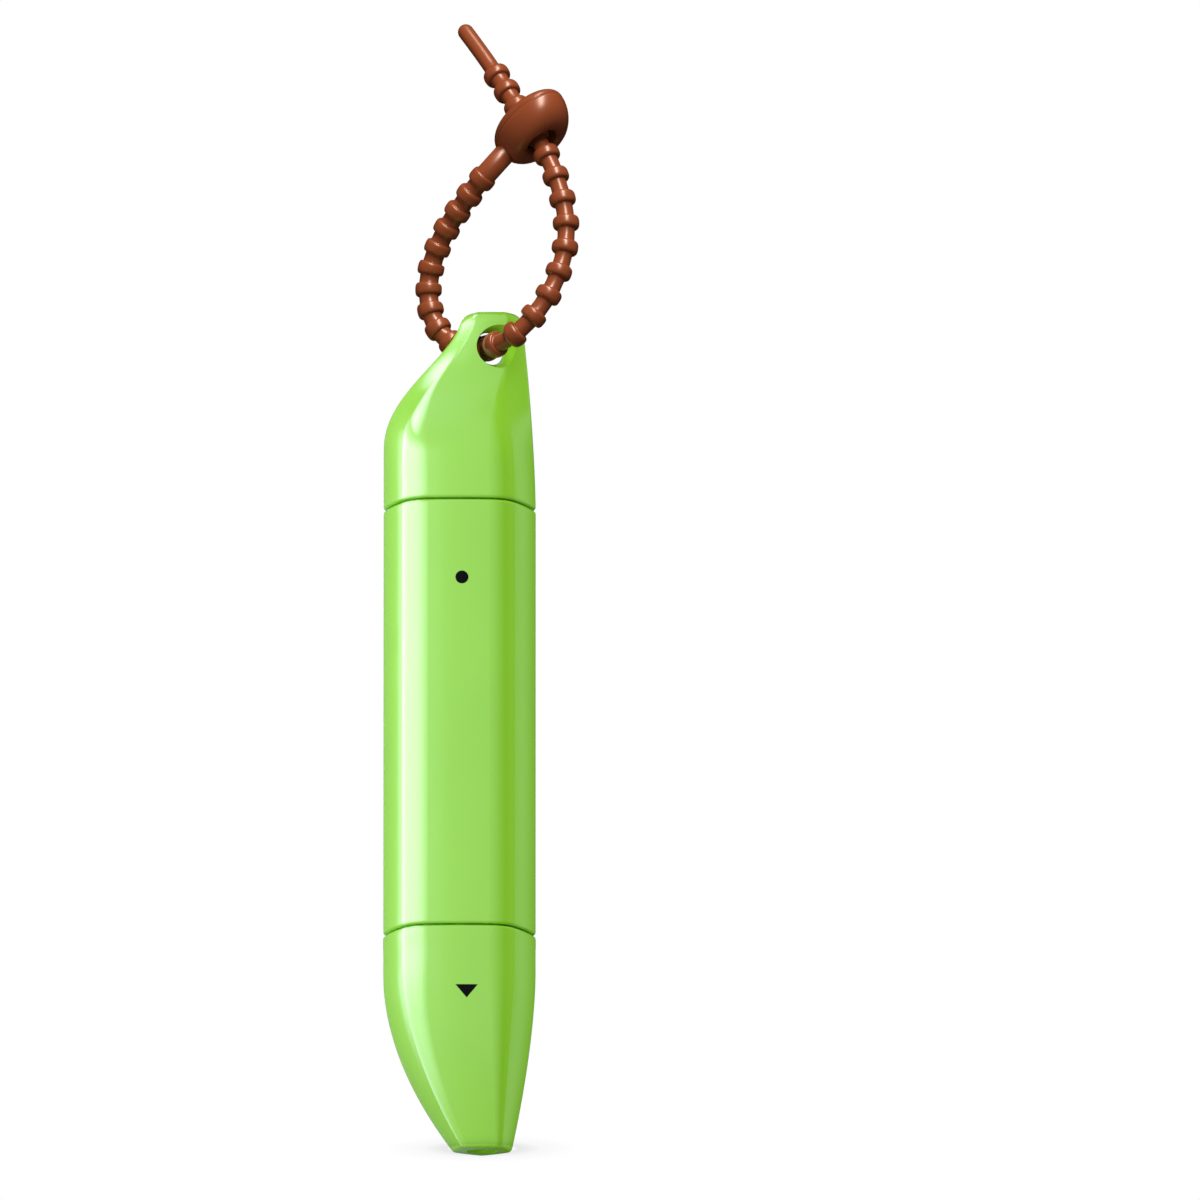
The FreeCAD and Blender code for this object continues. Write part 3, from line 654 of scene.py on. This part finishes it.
# %% Moulded skin
DRIFT_SCALE = 45.0
DRIFT_DETAIL = 2.0
DRIFT_DARKEST, DRIFT_LIGHTEST = 0.94, 1.06
PATCH_SCALE = 160.0
PATCH_DETAIL = 4.0
PEEL_SCALE = 900.0
PEEL_DETAIL = 1.0
GRAIN_SCALE = 6000.0
GRAIN_DETAIL = 2.0
GRAIN_AMOUNT = 0.2
NOISE_MIDDLE = 0.5


def node_group(name, inputs, outputs):
    """An empty shader node group with named sockets, and its two end nodes."""
    group = bpy.data.node_groups.new(name, "ShaderNodeTree")
    for label, kind, value in inputs:
        socket = group.interface.new_socket(label, in_out="INPUT", socket_type=kind)
        socket.default_value = value
    for label, kind in outputs:
        group.interface.new_socket(label, in_out="OUTPUT", socket_type=kind)
    return group, group.nodes.new("NodeGroupInput"), group.nodes.new("NodeGroupOutput")


def scaled_colour(tree, colour, scale):
    """A colour made darker or lighter by a scale."""
    mix = tree.nodes.new("ShaderNodeVectorMath")
    mix.operation = "SCALE"
    tree.links.new(colour, mix.inputs[0])
    tree.links.new(scale, mix.inputs["Scale"])
    return mix.outputs[0]


moulded_skin, skin_in, skin_out = node_group(
    "moulded_skin",
    [
        ("Colour", "NodeSocketColor", (1, 1, 1, 1)),
        ("Roughness", "NodeSocketFloat", 0.2),
        ("Patchiness", "NodeSocketFloat", 0.05),
        ("Peel Scale", "NodeSocketFloat", PEEL_SCALE),
        ("Grain Scale", "NodeSocketFloat", GRAIN_SCALE),
        ("Grain", "NodeSocketFloat", GRAIN_AMOUNT),
    ],
    [("Colour", "NodeSocketColor"), ("Roughness", "NodeSocketFloat"), ("Height", "NodeSocketFloat")],
)
drift = noise_node(moulded_skin, DRIFT_SCALE, DRIFT_DETAIL)
drift = between(moulded_skin, drift, DRIFT_DARKEST, DRIFT_LIGHTEST)
skin_colour = scaled_colour(moulded_skin, skin_in.outputs["Colour"], drift)
patches = noise_node(moulded_skin, PATCH_SCALE, PATCH_DETAIL)
patches = math_node(moulded_skin, "SUBTRACT", patches, NOISE_MIDDLE)
patches = math_node(moulded_skin, "MULTIPLY", patches, skin_in.outputs["Patchiness"])
skin_roughness = math_node(moulded_skin, "ADD", patches, skin_in.outputs["Roughness"])
peel = noise_node(moulded_skin, skin_in.outputs["Peel Scale"], PEEL_DETAIL)
grain = noise_node(moulded_skin, skin_in.outputs["Grain Scale"], GRAIN_DETAIL)
grain = math_node(moulded_skin, "MULTIPLY", grain, skin_in.outputs["Grain"])
skin_height = math_node(moulded_skin, "ADD", peel, grain)
moulded_skin.links.new(skin_colour, skin_out.inputs["Colour"])
moulded_skin.links.new(skin_roughness, skin_out.inputs["Roughness"])
moulded_skin.links.new(skin_height, skin_out.inputs["Height"])
print("group", moulded_skin.name, "with", len(moulded_skin.nodes), "nodes")

# %% [markdown]
# ## Finishes
# The shells are glossy plastic and the necks a satin one. The strap is silicone with a warm shine,
# the nib a soft felt and the spring bright steel. All start from the same recipe, so that they
# belong together: the moulded skin drives colour, roughness and a bump. What is the same all over,
# such as a sheen or a tinted shine, is set on the shader itself.

# %% Recipe
def shader_of(material):
    """The shader of a material that started from Blender's own."""
    return material.node_tree.nodes["Principled BSDF"]


def moulded(
    name,
    colour,
    roughness,
    patchiness,
    bump,
    peel_scale=PEEL_SCALE,
    grain_scale=GRAIN_SCALE,
    grain=GRAIN_AMOUNT,
):
    """A finish whose colour, roughness and relief come from the moulded skin."""
    material = bpy.data.materials.new(name)
    material.use_nodes = True
    tree = material.node_tree
    shader = shader_of(material)
    group = tree.nodes.new("ShaderNodeGroup")
    group.node_tree = moulded_skin
    group.inputs["Colour"].default_value = (*colour, 1.0)
    group.inputs["Roughness"].default_value = roughness
    group.inputs["Patchiness"].default_value = patchiness
    group.inputs["Peel Scale"].default_value = peel_scale
    group.inputs["Grain Scale"].default_value = grain_scale
    group.inputs["Grain"].default_value = grain
    relief = tree.nodes.new("ShaderNodeBump")
    relief.inputs["Strength"].default_value = 1.0
    relief.inputs["Distance"].default_value = bump
    tree.links.new(group.outputs["Colour"], shader.inputs["Base Color"])
    tree.links.new(group.outputs["Roughness"], shader.inputs["Roughness"])
    tree.links.new(group.outputs["Height"], relief.inputs["Height"])
    tree.links.new(relief.outputs["Normal"], shader.inputs["Normal"])
    print("finish", name)
    return material


# %% Finishes
green_gloss = moulded("green_gloss", (0.25, 0.59, 0.027), roughness=0.14, patchiness=0.05, bump=0.003 * MM)
green_satin = moulded("green_satin", (0.2, 0.5, 0.02), roughness=0.35, patchiness=0.08, bump=0.008 * MM)
soft_cup = moulded("soft_cup", (0.75, 0.77, 0.75), roughness=0.45, patchiness=0.1, bump=0.01 * MM)
valve_satin = moulded("valve_satin", (0.7, 0.72, 0.74), roughness=0.38, patchiness=0.08, bump=0.01 * MM)
vial_natural = moulded("vial_natural", (0.76, 0.8, 0.82), roughness=0.3, patchiness=0.08, bump=0.01 * MM)
seal_black = moulded("seal_black", (0.02, 0.02, 0.022), roughness=0.5, patchiness=0.12, bump=0.02 * MM)
nylon_white = moulded("nylon_white", (0.9, 0.9, 0.88), roughness=0.4, patchiness=0.1, bump=0.004 * MM)

silicone = moulded(
    "brown_silicone", (0.135, 0.03, 0.0095), roughness=0.3, patchiness=0.06, bump=0.0006 * MM, grain=0.0
)
shader_of(silicone).inputs["Specular IOR Level"].default_value = 0.5
shader_of(silicone).inputs["Specular Tint"].default_value = (1.0, 0.72, 0.58, 1.0)

felt_white = moulded(
    "felt_white",
    (0.8, 0.79, 0.73),
    roughness=0.9,
    patchiness=0.1,
    bump=0.12 * MM,
    peel_scale=2600.0,
    grain_scale=9000.0,
    grain=0.6,
)
shader_of(felt_white).inputs["Sheen Weight"].default_value = 0.35

spring_bright = moulded("spring_bright", (0.55, 0.55, 0.56), roughness=0.25, patchiness=0.1, bump=0.004 * MM)
shader_of(spring_bright).inputs["Metallic"].default_value = 1.0

mark_ink = moulded("mark_ink", (0.003, 0.003, 0.003), roughness=0.6, patchiness=0.1, bump=0.004 * MM)
shader_of(mark_ink).inputs["Specular IOR Level"].default_value = 0.02

# %% Finish on each piece
FINISHES = {
    "green_shell": green_gloss,
    "inner_cap_plastic": soft_cup,
    "neck_plastic": green_satin,
    "nib_felt": felt_white,
    "seal_rubber": seal_black,
    "valve_plastic": valve_satin,
    "spring_steel": spring_bright,
    "vial_plastic": vial_natural,
    "bristle_nylon": nylon_white,
    "strap_silicone": silicone,
}
DRAWN_PIECES = [
    (beaded_cord, silicone),
    (lock_head, silicone),
    (bristles, nylon_white),
    (spring_coil, spring_bright),
    (remover_dot, mark_ink),
    (brush_arrow, mark_ink),
]


def finish(obj, material):
    """Puts one finish all over a piece."""
    obj.data.materials.clear()
    obj.data.materials.append(material)


subparts = frame["record"]["subparts"]
for part in subparts:
    finish(frame["nodes"][part["node"]], FINISHES[part["material_slot"]])
for obj, material in DRAWN_PIECES:
    finish(obj, material)
print("finished", len(subparts), "nodes and", len(DRAWN_PIECES), "drawn pieces")

# %% [markdown]
# ## Floor
# The camera looks up through the floor, so the floor's underside is clear, with only a breath of
# painted shade round the foot: a ring of grey tinted into the clear underside. Seen from above it is
# pale, takes the pen's cast shadow and fades into the white background further out.

# %% Floor sheet
FLOOR_SIZE = 3.0
FLOOR_DROP = 0.2 * MM

floor_half = FLOOR_SIZE / 2
floor_corners = [
    (-floor_half, -floor_half, -FLOOR_DROP),
    (floor_half, -floor_half, -FLOOR_DROP),
    (floor_half, floor_half, -FLOOR_DROP),
    (-floor_half, floor_half, -FLOOR_DROP),
]
floor_mesh = bpy.data.meshes.new("floor")
floor_mesh.from_pydata(floor_corners, [], [(0, 1, 2, 3)])
floor = add_to_scene("floor", floor_mesh)
print("floor", FLOOR_SIZE, "m wide")

# %% Floor painted shade
# The shade round the foot is painted: the clear underside is greyed by distance from the foot's middle.
FOOT_PLACE = (3.6 * MM, -5.2 * MM)
PAINTED_SHADE_REACH = 15.0 * MM
# Share of the painted shade's reach from the foot's middle, and how much light comes through there
PAINTED_SHADE_STOPS = [(0.0, 1.0), (0.3, 1.0), (0.37, 0.8), (0.6, 0.94), (1.0, 1.0)]
# Share of the floor's half size from the foot's middle, and how much of its paint is left there
FADE_STOPS = [(0.0, 1.0), (0.1, 0.9), (0.3, 0.0), (1.0, 0.0)]


def stage_material(name):
    """A material whose surface is still open, and its tree."""
    material = bpy.data.materials.new(name)
    material.use_nodes = True
    material.node_tree.nodes.remove(shader_of(material))
    return material, material.node_tree


floor_material, floor_tree = stage_material("pale_floor")
floor_coords = floor_tree.nodes.new("ShaderNodeTexCoord")
from_foot = floor_tree.nodes.new("ShaderNodeVectorMath")
from_foot.operation = "DISTANCE"
from_foot.inputs[1].default_value = (*FOOT_PLACE, -FLOOR_DROP)
floor_tree.links.new(floor_coords.outputs["Object"], from_foot.inputs[0])
painted_shade_share = math_node(floor_tree, "DIVIDE", from_foot.outputs["Value"], PAINTED_SHADE_REACH)
painted_foot_shade = grey_ramp(floor_tree, painted_shade_share, PAINTED_SHADE_STOPS)
fade_share = math_node(floor_tree, "DIVIDE", from_foot.outputs["Value"], floor_half)
fade = grey_ramp(floor_tree, fade_share, FADE_STOPS)
print("shade reaches", round(PAINTED_SHADE_REACH / MM), "mm from the foot")

# %% Floor finish
WHITE = (1, 1, 1, 1)
FLOOR_COLOUR = (0.9, 0.9, 0.9, 1.0)
# A Mix node has sockets for each kind of value, and these are the places of its colours and result
MIX_FIRST, MIX_SECOND, MIX_RESULT = 6, 7, 2

geometry = floor_tree.nodes.new("ShaderNodeNewGeometry")
seen = floor_tree.nodes.new("ShaderNodeLightPath").outputs["Is Camera Ray"]
seen_below = math_node(floor_tree, "MULTIPLY", seen, geometry.outputs["Backfacing"])
seen_above = math_node(floor_tree, "SUBTRACT", seen, seen_below)
# Seen from below, the clear underside is tinted with the painted shade round the foot.
painted_shade_tint = floor_tree.nodes.new("ShaderNodeMix")
painted_shade_tint.data_type = "RGBA"
painted_shade_tint.inputs[MIX_FIRST].default_value = WHITE
floor_tree.links.new(seen_below, painted_shade_tint.inputs["Factor"])
floor_tree.links.new(painted_foot_shade, painted_shade_tint.inputs[MIX_SECOND])
clear = floor_tree.nodes.new("ShaderNodeBsdfTransparent")
floor_tree.links.new(painted_shade_tint.outputs[MIX_RESULT], clear.inputs["Color"])
paint = floor_tree.nodes.new("ShaderNodeBsdfDiffuse")
paint.inputs["Color"].default_value = FLOOR_COLOUR
both = floor_tree.nodes.new("ShaderNodeMixShader")
floor_tree.links.new(math_node(floor_tree, "MULTIPLY", seen_above, fade), both.inputs[0])
floor_tree.links.new(clear.outputs[0], both.inputs[1])
floor_tree.links.new(paint.outputs[0], both.inputs[2])
floor_tree.links.new(both.outputs[0], floor_tree.nodes["Material Output"].inputs["Surface"])
finish(floor, floor_material)
print("floor material with", len(floor_tree.nodes), "nodes")

# %% [markdown]
# ## Light tent
# Glossy plastic shows what stands round it. Softboxes could be lamps, but their edges would be
# hard in the shine. A paper dome, seen only in reflections, can fade as softly as it likes: it has
# a pale front and a dark flag on the right, and carries a tall bright panel on the left and a
# smaller one above it, which makes the cap's shoulder shine. The paper and each panel are a ramp
# round the dome times a ramp up and down it.

# %% Tent dome
PEN_MIDDLE = Vector((0.0, 0.0, 75.0)) * MM
TENT_RADIUS = 1.0
TENT_SIDES = 96
TENT_ROWS = 48


def dome_place(turn, lift):
    """A place on the dome at an angle round it and an angle up."""
    reach = TENT_RADIUS * math.cos(lift)
    return reach * math.cos(turn), reach * math.sin(turn), TENT_RADIUS * math.sin(lift)


tent_rings = []
for row in range(1, TENT_ROWS):
    lift = math.pi * (row / TENT_ROWS - 0.5)
    tent_rings.append([dome_place(turn, lift) for turn in circle_turns(TENT_SIDES)])
tent_points, tent_faces = skin(tent_rings)
tent_mesh = bpy.data.meshes.new("light_tent")
tent_mesh.from_pydata(tent_points, [], tent_faces)
light_tent = add_to_scene("light_tent", tent_mesh)
light_tent.location = PEN_MIDDLE
light_tent.visible_camera = False
light_tent.visible_diffuse = False
light_tent.visible_shadow = False
light_tent.visible_transmission = False
print("tent", len(tent_points), "points")

# %% Tent ramps
HALF_ROUND = 180
HALF_HEIGHT = 90


def ramp_over(tree, angle, half_span, stops):
    """A smooth ramp of brightness over an angle that runs from minus to plus half_span degrees."""
    share = math_node(tree, "DIVIDE", angle, math.radians(2 * half_span))
    share = math_node(tree, "ADD", share, 0.5)
    return grey_ramp(tree, share, [(degrees / (2 * half_span) + 0.5, level) for degrees, level in stops])


tent_material, tent_tree = stage_material("tent_paper")
tent_coords = tent_tree.nodes.new("ShaderNodeTexCoord")
split = tent_tree.nodes.new("ShaderNodeSeparateXYZ")
tent_tree.links.new(tent_coords.outputs["Object"], split.inputs[0])
toward = math_node(tent_tree, "MULTIPLY", split.outputs["Y"], -1.0)
round_angle = math_node(tent_tree, "ARCTAN2", split.outputs["X"], toward)
lift_angle = math_node(tent_tree, "DIVIDE", split.outputs["Z"], TENT_RADIUS)
lift_angle = math_node(tent_tree, "ARCSINE", lift_angle, 0.0)


def dome_glow(round_stops, height_stops, glow):
    """The brightness of the paper or a panel: a ramp round the dome times a ramp up and down it."""
    round_ramp = ramp_over(tent_tree, round_angle, HALF_ROUND, round_stops)
    height_ramp = ramp_over(tent_tree, lift_angle, HALF_HEIGHT, height_stops)
    return math_chain(tent_tree, "MULTIPLY", round_ramp, height_ramp, glow)


print("tent material starts with", len(tent_tree.nodes), "nodes")

# %% Paper
PAPER_GLOW = 2.3
# Degrees round from the camera, to the right, and the share of the glow there
PAPER_ROUND = [
    (-180, 0.12),
    (-150, 0.12),
    (-134, 0.2),
    (-60, 0.8),
    (-14, 1.0),
    (14, 0.9),
    (70, 0.02),
    (124, 0.02),
    (131, 0.2),
    (137, 0.17),
    (144, 0.07),
    (154, 0.01),
    (180, 0.003),
]
# Degrees up, and the share of the glow there
PAPER_HEIGHT = [(-90, 0.35), (-45, 0.4), (-12, 1.0), (90, 1.0)]

paper = dome_glow(PAPER_ROUND, PAPER_HEIGHT, PAPER_GLOW)
print("paper glows up to", PAPER_GLOW)

# %% Tall panel
PANEL_GLOW = 12.3
PANEL_ROUND = [
    (-180, 0.0),
    (-135, 0.0),
    (-127, 0.6),
    (-98, 0.8),
    (-66, 1.0),
    (-41, 0.8),
    (-17, 0.15),
    (-4, 0.0),
    (180, 0.0),
]
PANEL_HEIGHT = [
    (-90, 0.04),
    (-42, 0.1),
    (-28, 0.4),
    (-10, 0.5),
    (8, 0.92),
    (22, 1.0),
    (34, 0.38),
    (42, 0.12),
    (62, 0.08),
    (90, 0.0),
]

panel = dome_glow(PANEL_ROUND, PANEL_HEIGHT, PANEL_GLOW)
print("tall panel glows up to", PANEL_GLOW)

# %% Shoulder panel
SHOULDER_ROUND = [
    (-180, 0.0),
    (-135, 0.0),
    (-118, 0.7),
    (-98, 1.0),
    (-72, 0.8),
    (-52, 0.1),
    (-35, 0.0),
    (180, 0.0),
]
SHOULDER_HEIGHT = [
    (-90, 0.0),
    (43, 0.0),
    (48, 0.75),
    (58, 0.85),
    (72, 0.6),
    (82, 0.15),
    (90, 0.0),
]

shoulder_panel = dome_glow(SHOULDER_ROUND, SHOULDER_HEIGHT, PANEL_GLOW)
print("shoulder panel glows up to", max(level for _, level in SHOULDER_HEIGHT) * PANEL_GLOW)

# %% Tent finish
TENT_COLOUR = (0.88, 1.0, 1.14, 1.0)

tent_light = tent_tree.nodes.new("ShaderNodeEmission")
tent_light.inputs["Color"].default_value = TENT_COLOUR
tent_strength = math_chain(tent_tree, "ADD", paper, panel, shoulder_panel)
tent_tree.links.new(tent_strength, tent_light.inputs["Strength"])
tent_tree.links.new(tent_light.outputs[0], tent_tree.nodes["Material Output"].inputs["Surface"])
finish(light_tent, tent_material)
print("tent material with", len(tent_tree.nodes), "nodes")

# %% [markdown]
# ## Lamps
# Each lamp is named by where it stands round the pen and how much light it brings, as a share of
# what would make white paper white. The shells mirror the tent, so their lamps stay out of the
# shine. The strap has a tall lamp of its own from the front and above, so its beads get bright tops
# and dark undersides, and two soft fills. The shells' lamps leave the strap out, and it casts no
# shade on the shells.

# %% Lamp helpers
LAMP_DISTANCE = 1.0
# An area lamp of about this power makes white paper white, where the paper faces it
FULL_LIGHT = (math.pi * LAMP_DISTANCE) ** 2


def lamp_place(turn, lift, target):
    """A place at degrees round to the right and up from the camera's side of a target."""
    turn, lift = math.radians(turn), math.radians(lift)
    way = Vector((math.sin(turn) * math.cos(lift), -math.cos(turn) * math.cos(lift), math.sin(lift)))
    return target + way * LAMP_DISTANCE


def lamp_at(target, size, name, turn, lift, share):
    """A flat lamp at degrees round and up from a target, that brings a share of full light."""
    lamp = add_to_scene(name, bpy.data.lights.new(name, "AREA"))
    lamp.data.shape = "RECTANGLE"
    lamp.data.size, lamp.data.size_y = size
    lamp.data.energy = share * FULL_LIGHT
    lamp.visible_camera = False
    aim(lamp, lamp_place(turn, lift, target), target)
    return lamp


def lit_group(name, objects, state):
    """A group that a lamp lights alone, or leaves out."""
    group = bpy.data.collections.new(name)
    for i, obj in enumerate(objects):
        group.objects.link(obj)
        group.collection_objects[i].light_linking.link_state = state
    return group


strap_only = lit_group("strap_only", (beaded_cord, lock_head), "INCLUDE")
all_but_strap = lit_group("all_but_strap", (beaded_cord, lock_head), "EXCLUDE")
light_tent.light_linking.receiver_collection = all_but_strap
print("light groups:", strap_only.name, all_but_strap.name)

# %% Strap lamps
STRAP_LAMP_SIZE = (0.16, 0.95)
# Degrees round from the camera, to the right, degrees up, and the share of full light
STRAP_LAMPS = [("strap_front", 10, 52, 3.0)]
STRAP_FILLS = [("strap_left_fill", -70, 0, 0.4), ("strap_back_fill", 180, 9, 1.0)]

for settings in STRAP_LAMPS + STRAP_FILLS:
    lamp = lamp_at(middle_of("strap_cord"), STRAP_LAMP_SIZE, *settings)
    lamp.visible_glossy = settings in STRAP_LAMPS
    lamp.light_linking.receiver_collection = strap_only
print("strap lamps:", len(STRAP_LAMPS + STRAP_FILLS))

# %% Shell lamps
LAMP_SIZE = (0.8, 0.8)
LAMPS = [
    ("key", -35, 25, 0.86),
    ("right_rim", 110, 20, 0.95),
    ("left_rim", -130, 20, 0.92),
    ("floor_bounce", -30, -50, 0.3),
]

for settings in LAMPS:
    lamp = lamp_at(PEN_MIDDLE, LAMP_SIZE, *settings)
    lamp.visible_glossy = False
    lamp.light_linking.receiver_collection = all_but_strap
    lamp.light_linking.blocker_collection = all_but_strap
print("shell lamps:", len(LAMPS))

# %% [markdown]
# ## World
# A white world is the background of the picture and what shiny pieces see where the tent ends. As
# light on matt surfaces a full white world would wash the shading out, so it gives them less.

# %% World
WORLD_AMBIENT = 0.4
WORLD_SHOWN = 1.0

world = bpy.data.worlds.new("studio")
scene.world = world
world.use_nodes = True
world_tree = world.node_tree
background = world_tree.nodes["Background"]
background.inputs["Color"].default_value = WHITE
light_path = world_tree.nodes.new("ShaderNodeLightPath")
shown = math_chain(
    world_tree,
    "MAXIMUM",
    light_path.outputs["Is Camera Ray"],
    light_path.outputs["Is Glossy Ray"],
    light_path.outputs["Is Transmission Ray"],
)
world_strength = between(world_tree, shown, WORLD_AMBIENT, WORLD_SHOWN)
world_tree.links.new(world_strength, background.inputs["Strength"])
print("world", WORLD_SHOWN, "where it shows and", WORLD_AMBIENT, "as light")
